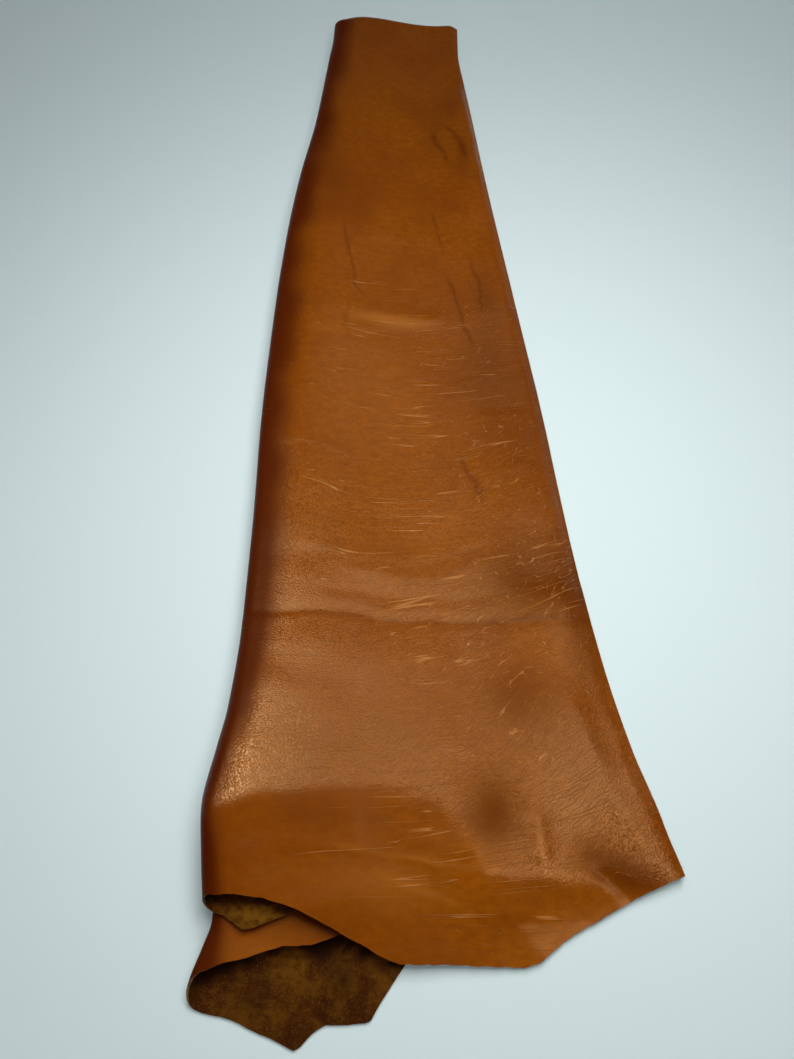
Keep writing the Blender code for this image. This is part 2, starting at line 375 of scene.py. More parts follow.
# Where the colour of the grain side is deeper, or paler where the share is below 0: X, Y, reach
# across, reach along, share. Some spots are painted shade or a painted sheen, as marked.
TONES = (
    (44.0, -20.0, 40.0, 60.0, 0.55),
    (66.0, -110.0, 46.0, 66.0, 0.55),
    (66.0, -212.0, 46.0, 30.0, 0.80),
    (52.0, -290.0, 30.0, 30.0, 0.50),
    # Painted shade in the hollow to the right of where the near fold turns down.
    (31.0, -361.0, 20.0, 24.0, 0.75),
    (98.0, -250.0, 16.0, 50.0, 0.50),
    (-112.0, -100.0, 18.0, 150.0, 0.30),
    (38.0, 222.0, 9.0, 30.0, 0.40),
    (10.0, 256.0, 12.0, 26.0, 0.25),
    (27.0, 300.0, 14.0, 24.0, 0.40),
    (-78.0, 175.0, 14.0, 26.0, 0.35),
    (50.0, 60.0, 12.0, 50.0, 0.40),
    # The next three spots are painted shade on the slope that turns down to the near right corner.
    (86.0, -379.0, 14.0, 9.0, 0.45),
    (100.0, -389.0, 20.0, 9.0, 0.75),
    (115.0, -397.0, 18.0, 8.0, 0.60),
    (40.0, -416.0, 30.0, 12.0, 0.35),
    (-60.0, -365.0, 60.0, 12.0, 0.35),
    (-80.0, 300.0, 60.0, 140.0, 0.30),
    (20.0, 230.0, 30.0, 110.0, 0.20),
    # A painted sheen along the low ridge across the middle.
    (-22.0, 17.0, 40.0, 7.0, -0.70),
    (-80.0, 0.0, 24.0, 6.0, -0.30),
    (-95.0, -432.0, 36.0, 14.0, -0.40),
    (-36.0, 120.0, 22.0, 60.0, -0.25),
    (-30.0, -30.0, 50.0, 60.0, -0.25),
    (-40.0, -280.0, 50.0, 40.0, -0.20),
    (-20.0, -404.0, 34.0, 15.0, -0.40),
    (-60.0, -395.0, 40.0, 16.0, -0.20),
)

# Thin lines of the top layer, dark, or pale where the share is below 0, some of them painted shade or
# painted highlights as marked: half width, share, then the points of each.
VEINS_SHADE_AND_HIGHLIGHTS = (
    # The next five lines are painted shade along troughs of the relief.
    (2.2, 0.45, CROSS_CREASE),
    (1.6, 0.65, ((-69, 130), (-66, 112), (-60, 79), (-59, 52), (-46, 32))),
    (1.5, 0.55, ((-65, 28), (-62, -6))),
    (1.6, 0.65, ((18, 74), (24, 49), (29, 15), (38, -7))),
    (1.9, 0.50, ((22, -108), (26, -120), (32, -134), (34, -152))),
    (1.5, 0.45, ((8, 150), (12, 120), (16, 96))),
    (1.5, 0.45, ((38, 96), (44, 60), (47, 30))),
    (2.6, 0.40, ((8, 262), (16, 240), (26, 214))),
    (3.0, 0.45, ((22, 274), (34, 250), (41, 222))),
    (1.2, 0.45, ((78, -300), (92, -318), (104, -333))),
    # Painted shade along the trough at the right corner.
    (1.2, 0.35, ((84, -389), (91, -394), (98, -400), (105, -407))),
    # From here on the pale lines are painted highlights on ridges and flanks.
    (1.8, -0.40, ((-77, -378), (-55, -380), (-37, -382), (-11, -386), (18, -391), (48, -393))),
    (2.0, -0.35, ((-2, -360), (10, -370), (18, -383), (28, -390))),
    (1.8, -0.30, ((-20, -364), (0, -374), (12, -386))),
    (1.8, -0.30, ((-40, -389), (-16, -399), (12, -408), (44, -412), (76, -414))),
    (1.8, -0.30, ((-107, -106), (-94, -102), (-80, -96))),
    (1.8, -0.35, ((-98, -135), (-70, -142), (-35, -145))),
    (4.0, -0.55, ((54, -358), (55, -373), (56, -388))),
)

# Where the grain side is duller: X, Y, reach across, reach along, share.
DULL = (
    (52.0, -287.0, 34.0, 30.0, 0.80),
    (73.0, -222.0, 34.0, 20.0, 0.85),
    (31.0, -361.0, 20.0, 26.0, 0.90),
    (-103.0, -277.0, 12.0, 13.0, 0.60),
    (86.0, -380.0, 16.0, 10.0, 0.70),
    (102.0, -391.0, 26.0, 10.0, 0.90),
    (60.0, -110.0, 30.0, 60.0, 0.50),
)

# Where the flesh side is darker, or paler where the share is below 0: X, Y, reach across, reach
# along, share.
FLESH_TONES = (
    # Painted light on layer 2's flap, which lies in the shade of the top layer's edge.
    (-98.0, -412.0, 22.0, 10.0, -0.9),
    (-84.0, -436.0, 22.0, 9.0, -0.6),
    (-52.0, -444.0, 9.0, 9.0, 0.6),
    (-62.0, -433.0, 8.0, 8.0, 0.8),
    (-30.0, -440.0, 8.0, 14.0, -0.3),
    (-100.0, -455.0, 10.0, 5.0, 0.5),
)

# Where fine wrinkles gather on the top layer: X, Y, reach, share.
WRINKLED = (
    (-20.0, -200.0, 75.0, 1.0),
    (65.0, -215.0, 50.0, 1.0),
    (105.0, -355.0, 40.0, 0.6),
    (0.0, -60.0, 85.0, 0.9),
    (-25.0, 16.0, 44.0, 1.0),
    (-10.0, -140.0, 70.0, 1.0),
    (30.0, -392.0, 46.0, 1.0),
    (-25.0, -378.0, 42.0, 1.0),
)

# Where short slanting cracks cross the top layer: X, Y, reach, share.
CRACKED = (
    (50.0, -290.0, 60.0, 1.0),
    (70.0, -200.0, 45.0, 1.0),
    (20.0, -255.0, 50.0, 0.7),
    (45.0, -110.0, 55.0, 0.7),
    (90.0, -350.0, 45.0, 0.8),
    (30.0, 0.0, 50.0, 0.5),
)

# How the fine wrinkles run: along Y, slope where X is 0, growth of the slope across.
FLOW = (
    (-440.0, 0.0, 0.0),
    (-400.0, 0.03, 0.0),
    (-280.0, 0.24, 0.0017),
    (-215.0, 0.14, 0.0018),
    (-120.0, 0.06, 0.0013),
    (0.0, 0.04, 0.0006),
    (400.0, 0.05, 0.0),
)

# How many columns and rows of faces the fine sheet has: outer layer, half turn and inner layer
# across, then upper arm, far turn and lower arm along.
FINE_COLUMNS_OUTER = 100
FINE_COLUMNS_FOLD = 14
FINE_COLUMNS_INNER = 36
FINE_ROWS_UPPER = 360
FINE_ROWS_TURN = 16
FINE_ROWS_LOWER = 60

# How they gather: straight share, curved share, power. The columns of the inner layers gather at
# their long fold, and the rows at the near ends.
GATHER_INNER = (0.3, 0.7, 2.5)
GATHER_UPPER = (0.75, 0.25, 2)
GATHER_LOWER = (0.12, 0.88, 3)

# How many random values the noise has each way before it repeats.
NOISE_SIZE = 256

# Faces that meet at more than this angle, in degrees, keep a sharp edge between them.
SHARP_ANGLE = 60.0


def straight(rows, value):
    """The value of a table between its rows, in straight lines."""
    table = np.array(rows)
    return np.interp(value, table[:, 0], table[:, 1])


def curved(rows, value):
    """The value of a table between its rows, in a smooth line that never overshoots them."""
    table = np.array(rows)
    place, level = table[:, 0], table[:, 1]
    rises = np.diff(level) / np.diff(place)
    product = rises[:-1] * rises[1:]
    total = rises[:-1] + rises[1:]
    safe = np.where(product > 0, total, 1.0)
    inner = np.where(product > 0, 2 * product / safe, 0.0)
    slopes = np.concatenate((rises[:1], inner, rises[-1:]))
    at = np.clip(value, place[0], place[-1])
    row = np.clip(np.searchsorted(place, at) - 1, 0, len(place) - 2)
    span = place[row + 1] - place[row]
    part = (at - place[row]) / span
    start = level[row] * (1 + 2 * part) * (1 - part) ** 2 + slopes[row] * span * part * (1 - part) ** 2
    end = level[row + 1] * (3 - 2 * part) * part ** 2 - slopes[row + 1] * span * (1 - part) * part ** 2
    return start + end


def faded(distance, reach):
    """1 at no distance, 0 from the reach on, level at both."""
    part = np.clip(distance / reach, 0.0, 1.0)
    return (1 + np.cos(np.pi * part)) / 2


def uneven(x, y, cell, seed):
    """Smooth noise between -1 and 1 with hills about as far apart as the cell."""
    values = np.random.default_rng(seed).uniform(-1, 1, (NOISE_SIZE, NOISE_SIZE))
    column, row = np.floor(x / cell).astype(int), np.floor(y / cell).astype(int)
    across, along = x / cell - column, y / cell - row
    across = across * across * (3 - 2 * across)
    along = along * along * (3 - 2 * along)

    def at(step_x, step_y):
        return values[(column + step_x) % NOISE_SIZE, (row + step_y) % NOISE_SIZE]

    low = at(0, 0) * (1 - across) + at(1, 0) * across
    high = at(0, 1) * (1 - across) + at(1, 1) * across
    return low * (1 - along) + high * along


def swayed(value, x, y, *sways):
    """A place along X or Y, shifted unevenly by each sway in turn."""
    for size, cell, seed in sways:
        value = value + size * uneven(x, y, cell, seed)
    return value


def tapered(share, taper):
    """1 along a line, and less toward both of its ends."""
    slope, least = taper
    return np.clip(np.minimum(share, 1 - share) * slope + least, 0.0, 1.0)


def flank(away, reach, ease):
    """The share of its height that a ridge with a rounded top still has this far away."""
    share = 1 - (np.sqrt(away ** 2 + ease ** 2) - ease) / reach
    return np.clip(share, 0.0, 1.0) ** FLANK_POWER


def hill(away, reach):
    """1 at no distance, falling smoothly to 0.37 at the reach and on toward 0 past it."""
    return np.exp(-(away / reach) ** 2)


def covers(x, y, near, right, reach=DRAPE_REACH):
    """1 where a layer lies under this place, fading to 0 over the drape past its cut edges."""
    inside = np.minimum(y - straight(near, x), curved(right, y) - x)
    return faded(-inside, reach)


def fold_half_width(y):
    """How far a long fold's half turn reaches across, less at the near end, where it is cut."""
    return np.interp(y, NEAR_PART, FOLD_HALF_WIDTHS)


def fold_start(fold, y):
    """Where the flat of a layer ends and the half turn of its long fold begins."""
    return curved(fold, y) + HALF_LEATHER + fold_half_width(y)


def fold_opening(fold, height, x, y):
    """How far apart the middles of two layers lie that share a long fold."""
    reach = np.interp(y, HIDE_ENDS, OPENING_REACHES)
    share = faded(x - fold_start(fold, y), reach)
    return STEP + (height - STEP) * share


def away_from_line(x, y, line):
    """Distance to a line of points, more than 0 on its far side, and the share of its length there."""
    points = np.array(line, dtype=float)
    runs = np.diff(points, axis=0)
    lengths = np.linalg.norm(runs, axis=1)
    starts = np.concatenate(([0.0], np.cumsum(lengths)))
    nearest = np.full(np.shape(x), np.inf)
    share = np.zeros(np.shape(x))
    side = np.zeros(np.shape(x))
    for start, run, length, before in zip(points, runs, lengths, starts):
        part = ((x - start[0]) * run[0] + (y - start[1]) * run[1]) / length ** 2
        part = np.clip(part, 0.0, 1.0)
        away = np.hypot(x - start[0] - part * run[0], y - start[1] - part * run[1])
        turned = np.sign(run[0] * (y - start[1]) - run[1] * (x - start[0]))
        share = np.where(away < nearest, (before + part * length) / starts[-1], share)
        side = np.where(away < nearest, turned, side)
        nearest = np.minimum(away, nearest)
    return nearest * side, share


def relief(x, y):
    """The ridges, troughs and slight waves of the top layer, added up."""
    total = np.zeros(np.shape(x))
    swayed_x = swayed(x, x, y, *RELIEF_SWAYS_X)
    swayed_y = swayed(y, x, y, *RELIEF_SWAYS_Y)
    for near_reach, far_reach, height, line in RELIEF:
        away, share = away_from_line(swayed_x, swayed_y, line)
        reach = np.where(away < 0, near_reach, far_reach)
        ease = min(CREST_EASE * min(near_reach, far_reach), CREST_EASE_MOST)
        total = total + height * tapered(share, RELIEF_TAPER) * flank(away, reach, ease)
    total = total + near_crest(swayed_x, swayed_y)
    inward = curved(UPPER_FOLD, y) + CREST_IN - x
    total = total - CREST_FALL * np.clip(inward / CREST_IN, 0.0, 1.0) ** CREST_FALL_POWER
    for height, cell, stretch, lean, seed in WAVES:
        total = total + height * uneven(x * stretch, y + lean * x, cell, seed)
    return total


def near_crest(x, y):
    """The broad fold where the top layer turns down to its near edge."""
    place, heights, near_reaches, far_reaches = np.array(NEAR_CREST_FORM).T
    away = y - curved(NEAR_CREST, x)
    near_reach = np.interp(x, place, near_reaches)
    far_reach = np.interp(x, place, far_reaches)
    reach = np.where(away < 0, near_reach, far_reach)
    return np.interp(x, place, heights) * flank(away, reach, CREST_EASE_MOST)


def soft_greater(value, floor, ease):
    """The greater of two, with a rounded change from one to the other."""
    return floor + ease * np.logaddexp(0.0, (value - floor) / ease)


def layer_height(layer, x, y):
    """Height of the middle of a layer, as it lies on the layers under it."""
    height = np.full(np.shape(x), HALF_LEATHER)
    reach = DRAPE_REACH
    if layer == 1:
        reach = np.interp(y, LONG_DRAPE, (DRAPE_REACH_NEAR, DRAPE_REACH))
    if layer < 4:
        under = covers(x, y, NEAR_4, RIGHT_4, reach)
        height = height + under * fold_opening(LOWER_FOLD, LOWER_FOLD_HEIGHT, x, y)
    if layer < 3:
        height = height + covers(x, y, NEAR_3, RIGHT_3, reach) * STEP
    if layer < 2:
        over = covers(x, y, NEAR_2, RIGHT_2, np.minimum(reach, DRAPE_REACH_SECOND))
        rise = relief(x, y)
        opening = fold_opening(UPPER_FOLD, UPPER_FOLD_HEIGHT, x, y) + rise
        height = height + over * soft_greater(opening, LEATHER_THICKNESS + LEAST_GAP, EASE_OVER_LAYER)
        height = height + (1 - over) * soft_greater(rise, 0.0, EASE_OVER_NONE)
    return height


def far_line(x):
    """Where the layers begin their half turn at the far end."""
    return FAR_LINE + FAR_SLANT * (x - UPPER_FOLD[-1][1])


def across(share, fold, right, y):
    """X of a share of the way from the long fold to the right edge."""
    start = fold_start(fold, y)
    return start + share * (curved(right, y) - start)


def column_start(share, fold, near, right):
    """Y at which the line of this share meets the layer's near cut edge."""
    low = np.full(np.shape(share), NEAR_SEARCH[0])
    high = np.full(np.shape(share), NEAR_SEARCH[1])
    for _ in range(NEAR_SEARCH_ROUNDS):
        middle = (low + high) / 2
        past = middle > straight(near, across(share, fold, right, middle))
        high = np.where(past, middle, high)
        low = np.where(past, low, middle)
    return (low + high) / 2


def spaced(even, gather):
    """Even shares from 0 to 1, gathered toward 0."""
    straight_share, curved_share, power = gather
    return straight_share * even + curved_share * even ** power


def ragged(layer, along, x):
    """How far a layer's near cut edge is out of line, fading fast along the layer."""
    row = np.full(np.shape(x), RAGGED_ROW * layer)
    return (1 - along) ** RAGGED_POWER * RAGGED_DEPTH * uneven(x, row, RAGGED_CELL, RAGGED_SEED)


def flat(layer, along, share, start, fold, right):
    """One column of a layer's middle surface, from its near edge to the far turn."""
    end = FAR_LINE
    for _ in range(FAR_LINE_ROUNDS):
        end = far_line(across(share, fold, right, end))
    y = start + along * (end - start)
    x = across(share, fold, right, y)
    return np.stack((x, y + ragged(layer, along, x), layer_height(layer, x, y)), axis=-1)


def arm(along, fold, recess, outer, inner):
    """The middle surface of two layers with their long fold, one row of points for each share along."""
    outer_layer, outer_near, outer_right = outer
    inner_layer, inner_near, inner_right = inner
    outer_across = np.linspace(1.0, 0.0, FINE_COLUMNS_OUTER + 1)
    inner_across = spaced(np.linspace(0.0, 1.0, FINE_COLUMNS_INNER + 1), GATHER_INNER)
    outer_starts = column_start(outer_across, fold, outer_near, outer_right)
    inner_starts = column_start(inner_across, fold, inner_near, inner_right)
    columns = []
    for share, start in zip(outer_across, outer_starts):
        columns.append(flat(outer_layer, along, share, start, fold, outer_right))
    for part in range(1, FINE_COLUMNS_FOLD):
        angle = np.pi * part / FINE_COLUMNS_FOLD
        blend = (1 - np.cos(angle)) / 2
        start = outer_starts[-1] + blend * (inner_starts[0] - outer_starts[-1]) + recess * np.sin(angle)
        end = far_line(fold_start(fold, FAR_LINE))
        y = start + along * (end - start)
        begin = fold_start(fold, y)
        top = layer_height(outer_layer, begin, y)
        bottom = layer_height(inner_layer, begin, y)
        x = begin - fold_half_width(y) * np.sin(angle)
        z = bottom + (top - bottom) * ((1 + np.cos(angle)) / 2) ** FOLD_DROOP
        columns.append(np.stack((x, y, z), axis=-1))
    for share, start in zip(inner_across, inner_starts):
        columns.append(flat(inner_layer, along, share, start, fold, inner_right))
    return np.stack(columns, axis=1)


def far_turn(upper, lower):
    """The half turn at the far end, from the last row of the upper arm to the first of the lower."""
    rows = []
    radius = (upper[:, 2] - lower[:, 2]) / 2
    middle = (upper[:, 2] + lower[:, 2]) / 2
    for part in range(1, FINE_ROWS_TURN):
        angle = np.pi * part / FINE_ROWS_TURN
        blend = (1 - np.cos(angle)) / 2
        level = upper[:, :2] + blend * (lower[:, :2] - upper[:, :2])
        y = level[:, 1] + radius * np.sin(angle)
        z = middle + radius * np.cos(angle)
        rows.append(np.stack((level[:, 0], y, z), axis=-1))
    return np.stack(rows)


def middle_surface():
    """Rows along the hide from layer 1's near edge over the far turn to layer 4's near edge."""
    upper_along = spaced(np.linspace(0.0, 1.0, FINE_ROWS_UPPER + 1), GATHER_UPPER)
    lower_along = spaced(np.linspace(1.0, 0.0, FINE_ROWS_LOWER + 1), GATHER_LOWER)
    upper = arm(upper_along, UPPER_FOLD, UPPER_FOLD_RECESS, (1, NEAR_1, RIGHT_1), (2, NEAR_2, RIGHT_2))
    lower = arm(lower_along, LOWER_FOLD, 0.0, (4, NEAR_4, RIGHT_4), (3, NEAR_3, RIGHT_3))
    return np.concatenate((upper, far_turn(upper[-1], lower[0]), lower))


def quads(numbers):
    """Faces of a grid of point numbers, seen with rows up and columns to the right."""
    corners = (numbers[:-1, :-1], numbers[1:, :-1], numbers[1:, 1:], numbers[:-1, 1:])
    return np.stack(corners, axis=-1).reshape(-1, 4)


def rim_of(numbers):
    """The outer points of a grid of point numbers, once around."""
    return np.concatenate((numbers[0, :-1], numbers[:-1, -1], numbers[-1, :0:-1], numbers[:0:-1, 0]))


def hide_mesh():
    """The fine sheet: grain side in full detail, flesh side with every second point, and a cut edge."""
    middle = middle_surface()
    along = np.gradient(middle, axis=0)
    sideways = np.gradient(middle, axis=1)
    normal = np.cross(along, sideways)
    normal = normal / np.linalg.norm(normal, axis=-1, keepdims=True)
    grain = middle + normal * HALF_LEATHER
    flesh = (middle - normal * HALF_LEATHER)[::2, ::2]
    points = np.concatenate((grain.reshape(-1, 3), flesh.reshape(-1, 3)))
    grain_count = grain.shape[0] * grain.shape[1]
    grain_numbers = np.arange(grain_count).reshape(grain.shape[:2])
    flesh_numbers = np.arange(grain_count, len(points)).reshape(flesh.shape[:2])
    grain_faces = quads(grain_numbers)
    flesh_faces = quads(flesh_numbers)[:, ::-1]
    fine, coarse = rim_of(grain_numbers), rim_of(flesh_numbers)
    first, second, third = fine[::2], fine[1::2], np.roll(fine, -2)[::2]
    edge_faces = np.stack((first, second, third, np.roll(coarse, -1), coarse), axis=1)
    row = np.repeat(np.arange(grain.shape[0]), grain.shape[1])
    flesh_row = np.repeat(np.arange(0, grain.shape[0], 2), flesh.shape[1])
    lower = np.concatenate((row, flesh_row)) >= FINE_ROWS_UPPER + FINE_ROWS_TURN
    faces = grain_faces.tolist() + flesh_faces.tolist() + edge_faces.tolist()
    kinds = np.repeat((0, 1, 2), (len(grain_faces), len(flesh_faces), len(edge_faces)))
    return points, faces, kinds, grain_count, lower


def gathered(spots, x, y):
    """How strong a mark is here, where it gathers in round spots."""
    total = np.zeros(len(x))
    for spot_x, spot_y, reach, share in spots:
        near = np.exp(-((x - spot_x) ** 2 + (y - spot_y) ** 2) / reach ** 2)
        total = np.maximum(total, share * near)
    return total


def oval(spot, x, y):
    """1 in the middle of an oval spot, falling smoothly over its reaches."""
    spot_x, spot_y, reach_x, reach_y = spot
    return np.exp(-((x - spot_x) / reach_x) ** 2 - ((y - spot_y) / reach_y) ** 2)


def toned(spots, x, y):
    """Half the shares of the spots of other colour, added up."""
    total = np.zeros(len(x))
    for *spot, share in spots:
        total = total + share / 2 * oval(spot, x, y)
    return total


def edge_shade(x, y, on_grain, lower):
    """How dark a layer is just under the near cut edge of a layer that lies on it."""
    shade = np.zeros(len(x))
    # The cut edge above, how far its shade reaches, and the points that it falls on.
    shades = (
        (NEAR_1, 3.6, lower),
        (NEAR_1, 2.2, ~lower & ~on_grain),
        (NEAR_2, 1.8, lower & on_grain),
        (NEAR_3, 4.6, lower & ~on_grain),
    )
    for edge, reach, under in shades:
        away, _ = away_from_line(x, y, edge)
        shade = np.maximum(shade, under * hill(away, reach))
    return shade


def vein_shade_and_highlights(x, y):
    """What the thin dark and pale lines add to the colour's depth, painted shade and highlights among
    them.
    """
    total = np.zeros(len(x))
    swayed_x = swayed(x, x, y, VEIN_SWAY_X)
    swayed_y = swayed(y, x, y, VEIN_SWAY_Y)
    for half_width, share, line in VEINS_SHADE_AND_HIGHLIGHTS:
        away, along = away_from_line(swayed_x, swayed_y, line)
        total = total + share / 2 * tapered(along, VEIN_TAPER) * hill(away, half_width)
    return total


def flow_place(points):
    """A place for each point whose second number stays the same along a fine wrinkle."""
    x, y, z = points.T
    ends, slopes, growths = np.array(FLOW).T
    level = y - np.interp(y, ends, slopes) * x - np.interp(y, ends, growths) * x ** 2
    return np.stack((x, swayed(level, x, y, FLOW_SWAY), z), axis=1) * MILLIMETRE


def surface_marks(points, grain_count, lower):
    """For each point its marks, as numbers."""
    x, y = points[:, 0], points[:, 1]
    on_grain = np.arange(len(points)) < grain_count
    change = straight(PEBBLE_CHANGE, x)
    crest = np.mean([curved(NEAR_CREST, x + shift) for shift in CREST_BLUR], axis=0)
    past_crest = swayed(y - crest, x, y, CREST_SWAY)
    pebbled = 1 - faded(past_crest + change, 2 * change)
    # Painted shade on the side of the upper long fold, and painted shade under the near cut edges.
    inward = swayed(x - curved(UPPER_FOLD, y), x, y, BAND_SWAY)
    fold_shade = faded(inward - straight(PAINTED_FOLD_SHADE, y), straight(PAINTED_FOLD_SHADE_REACH, y))
    shade = edge_shade(x, y, on_grain, lower)
    painted_shade = np.maximum(fold_shade, shade)
    shiny = SMOOTH_SHINE + (1 - SMOOTH_SHINE) * pebbled
    for *spot, share in DULL:
        shiny = shiny * (1 - share * oval(spot, x, y))
    to_rim = curved(RIGHT_1, y) - x
    shiny = shiny * (1 - SHADE_DULLING * painted_shade) * (1 - RIM_DULLING * hill(to_rim, RIM_REACH))
    past_start = np.clip((y - PEBBLE_LOSS_START) / PEBBLE_LOSS_LENGTH, 0.0, 1.0)
    pebbled = pebbled * (1 - FAR_PEBBLE_LOSS * past_start)
    # Besides the leather's own tones, the tone carries painted shade under cut edges and the painted
    # spots and lines.
    tone = PLAIN_TONE + np.where(on_grain, toned(TONES, x, y), toned(FLESH_TONES, x, y))
    tone = tone + SHADE_DEPTH * shade + on_grain * vein_shade_and_highlights(x, y)
    return {
        "wrinkled": gathered(WRINKLED, x, y),
        "cracked": gathered(CRACKED, x, y),
        "pebbled": SMOOTH_PEBBLES + (1 - SMOOTH_PEBBLES) * pebbled,
        "painted_shade": painted_shade,
        "shiny": shiny,
        "tone": tone,
    }


def build_hide(materials):
    """The folded hide as one object, with its marks and its place along the wrinkles."""
    points, faces, kinds, grain_count, lower = hide_mesh()
    marks = surface_marks(points, grain_count, lower)
    flow = flow_place(points)
    low, high = points.min(axis=0), points.max(axis=0)
    cad_low, cad_high = (np.array(corner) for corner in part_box("hide"))
    points = points * MILLIMETRE
    points[:, :2] += ((cad_low + cad_high) / 2 - (low + high) / 2 * MILLIMETRE)[:2]
    mesh = bpy.data.meshes.new("folded_hide")
    mesh.from_pydata(points.tolist(), [], faces)
    for material in materials:
        mesh.materials.append(material)
    mesh.polygons.foreach_set("material_index", kinds.astype(np.int32))
    for name, values in marks.items():
        mark = mesh.attributes.new(name, "FLOAT", "POINT")
        mark.data.foreach_set("value", values.astype(np.float32))
    mark = mesh.attributes.new("flow", "FLOAT_VECTOR", "POINT")
    mark.data.foreach_set("vector", flow.astype(np.float32).ravel())
    mesh.shade_smooth()
    mesh.set_sharp_from_angle(angle=math.radians(SHARP_ANGLE))
    mesh.update()
    hide = bpy.data.objects.new("folded_hide", mesh)
    bpy.context.scene.collection.objects.link(hide)
    return hide


class Nodes:
    """Short calls for a material's nodes."""

    def __init__(self, name):
        self.material = bpy.data.materials.new(name)
        self.material.use_nodes = True
        self.tree = self.material.node_tree
        self.shader = self.tree.nodes["Principled BSDF"]

    def feed(self, socket, value):
        """Gives a socket a link or a number."""
        if isinstance(value, bpy.types.NodeSocket):
            self.tree.links.new(value, socket)
        else:
            socket.default_value = value

    def add(self, kind, output, settings=None, **inputs):
        """A new node with its settings and inputs, as one of its outputs."""
        node = self.tree.nodes.new(kind)
        for name, value in (settings or {}).items():
            setattr(node, name, value)
        for name, value in inputs.items():
            self.feed(node.inputs[name.replace("_", " ")], value)
        return node.outputs[output]

    def mark(self, name, output="Fac"):
        """A mark of the mesh."""
        return self.add("ShaderNodeAttribute", output, {"attribute_name": name})

    def maths(self, operation, first, second=0.0):
        """A sum or other operation on two values."""
        node = self.tree.nodes.new("ShaderNodeMath")
        node.operation = operation
        self.feed(node.inputs[0], first)
        self.feed(node.inputs[1], second)
        return node.outputs[0]

    def spread(self, value, low, high, to_low=0.0, to_high=1.0):
        """A value moved smoothly from one range to another, and kept in it."""
        node = self.tree.nodes.new("ShaderNodeMapRange")
        node.interpolation_type = "SMOOTHSTEP"
        for number, setting in enumerate((value, low, high, to_low, to_high)):
            self.feed(node.inputs[number], setting)
        return node.outputs[0]

    def mix(self, share, first, second):
        """The first colour, and the second by its share."""
        node = self.tree.nodes.new("ShaderNodeMix")
        node.data_type = "RGBA"
        # Inputs 6 and 7 and output 2 are the node's colours.
        self.feed(node.inputs[0], share)
        self.feed(node.inputs[6], first)
        self.feed(node.inputs[7], second)
        return node.outputs[2]

    def noise(self, place, scale, detail=3.0, roughness=0.5, distortion=0.0):
        """Cloudy noise."""
        return self.add("ShaderNodeTexNoise", "Fac", None, Vector=place, Scale=scale, Detail=detail,
                        Roughness=roughness, Distortion=distortion)

    def thin_lines(self, field, width_share, width):
        """Lines where the field is a half, that taper off where their share of the width does."""
        # The least share keeps the division from a zero.
        away = self.maths("ABSOLUTE", self.maths("SUBTRACT", field, 0.5))
        away = self.maths("DIVIDE", away, self.maths("MAXIMUM", width_share, 0.001))
        return self.spread(away, 0.0, width, 1.0, 0.0)

    def stretched(self, place, scale):
        """A place with its axes scaled, so that what follows is stretched."""
        settings = {"vector_type": "POINT"}
        return self.add("ShaderNodeMapping", "Vector", settings, Vector=place, Scale=scale)

    def turned(self, place, degrees):
        """A place turned about the upright axis."""
        settings = {"vector_type": "POINT"}
        turn = (0.0, 0.0, math.radians(degrees))
        return self.add("ShaderNodeMapping", "Vector", settings, Vector=place, Rotation=turn)

    def bump(self, height, distance, strength=1.0, normal=None):
        """The surface's direction with fine heights on it, on top of an earlier one."""
        node = self.tree.nodes.new("ShaderNodeBump")
        node.inputs["Strength"].default_value = strength
        node.inputs["Distance"].default_value = distance
        self.tree.links.new(height, node.inputs["Height"])
        if normal is not None:
            self.tree.links.new(normal, node.inputs["Normal"])
        return node.outputs[0]


# Colours of the grain side.
TAN_DARK = (0.232, 0.054, 0.0014, 1.0)
TAN_LIGHT = (0.298, 0.078, 0.0024, 1.0)
TAN_BLOTCH = (0.165, 0.034, 0.0015, 1.0)
TAN_MOTTLE = (0.165, 0.036, 0.0015, 1.0)
TAN_VALLEY = (0.13, 0.027, 0.001, 1.0)
TAN_PALE = (0.40, 0.135, 0.018, 1.0)
TAN_DEEP = (0.115, 0.024, 0.001, 1.0)
TAN_LINE_HIGHLIGHT = (0.48, 0.20, 0.055, 1.0)
TAN_PAINTED_SHADE = (0.070, 0.008, 0.0005, 1.0)
GLOSS_TINT = (1.0, 0.64, 0.30, 1.0)

# Colours of the flesh side.
SUEDE_DARK = (0.040, 0.0080, 0.0005, 1.0)
SUEDE_BROWN = (0.092, 0.030, 0.0015, 1.0)
SUEDE_PALE = (0.25, 0.10, 0.006, 1.0)
SUEDE_MOTTLE = (0.030, 0.007, 0.0006, 1.0)
SUEDE_NAP = (0.20, 0.085, 0.008, 1.0)
SUEDE_DEEP = (0.012, 0.003, 0.0004, 1.0)
SUEDE_SHEEN = (0.5, 0.22, 0.04, 1.0)

# Colours of the cut edge and of the floor.
EDGE_DARK = (0.08, 0.028, 0.006, 1.0)
EDGE_PALE = (0.27, 0.125, 0.035, 1.0)
EDGE_STAIN = (0.07, 0.022, 0.004, 1.0)
FLOOR_PALE = (0.67, 0.79, 0.80, 1.0)

# Stretch of the textures: about how many hills they have in a metre across, along and up. The
# cracks are turned first, by an angle in degrees.
PEBBLE_STRETCH = (950.0, 1200.0, 0.0)
MOTTLE_STRETCH = (130.0, 210.0, 0.0)
CREASE_STRETCH = (7.0, 235.0, 0.0)
CREASE_PATCH_STRETCH = (20.0, 70.0, 0.0)
CRACK_TURN = -42.0
CRACK_STRETCH = (62.0, 300.0, 0.0)
CRACK_PATCH_STRETCH = (60.0, 110.0, 0.0)
WAVE_STRETCH = (40.0, 120.0, 0.0)


